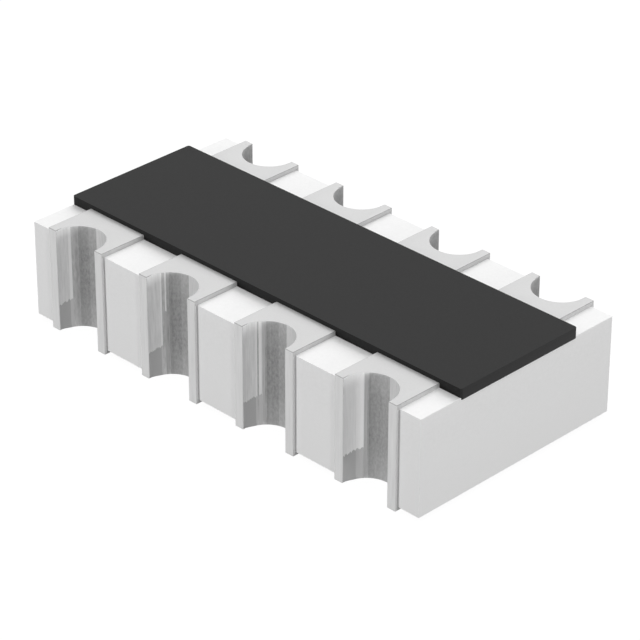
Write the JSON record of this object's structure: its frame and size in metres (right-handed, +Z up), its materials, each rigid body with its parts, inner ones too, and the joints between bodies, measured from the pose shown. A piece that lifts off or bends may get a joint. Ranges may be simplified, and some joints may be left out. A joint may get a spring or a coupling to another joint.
{
  "type": "resistor network",
  "caption": "Leadless thick-film chip resistor network: a white alumina body with half-round castellated tin terminals along both long sides and a black coat.",
  "frame": {"origin": "middle of the part's length and width, on the plane of the undersides of the terminals", "axes": "+X along the length from terminal 1 to terminal 4, +Y from the front row of terminals to the back row, +Z up through the black coat"},
  "size_m": [0.0032, 0.0016, 0.0007],
  "materials": {
    "alumina": "fired, matte white",
    "tin": "plated matte tin",
    "nickel": "plated nickel",
    "silver": "fired silver paste",
    "resistor_film": "fired ruthenium oxide film",
    "overglaze": "fired green glass",
    "coat": "cured black coat, matte"
  },
  "bodies": {
    "root": {"ceramic_substrate": "alumina", "glass_overglaze_1": "overglaze", "glass_overglaze_2": "overglaze", "glass_overglaze_3": "overglaze", "glass_overglaze_4": "overglaze", "nickel_barrier_back_1": "nickel", "nickel_barrier_back_2": "nickel", "nickel_barrier_back_3": "nickel", "nickel_barrier_back_4": "nickel", "nickel_barrier_front_1": "nickel", "nickel_barrier_front_2": "nickel", "nickel_barrier_front_3": "nickel", "nickel_barrier_front_4": "nickel", "protective_coat": "coat", "resistor_film_1": "resistor_film", "resistor_film_2": "resistor_film", "resistor_film_3": "resistor_film", "resistor_film_4": "resistor_film", "silver_electrode_back_1": "silver", "silver_electrode_back_2": "silver", "silver_electrode_back_3": "silver", "silver_electrode_back_4": "silver", "silver_electrode_front_1": "silver", "silver_electrode_front_2": "silver", "silver_electrode_front_3": "silver", "silver_electrode_front_4": "silver", "tin_terminal_back_1": "tin", "tin_terminal_back_2": "tin", "tin_terminal_back_3": "tin", "tin_terminal_back_4": "tin", "tin_terminal_front_1": "tin", "tin_terminal_front_2": "tin", "tin_terminal_front_3": "tin", "tin_terminal_front_4": "tin"}
  },
  "joints": []
}
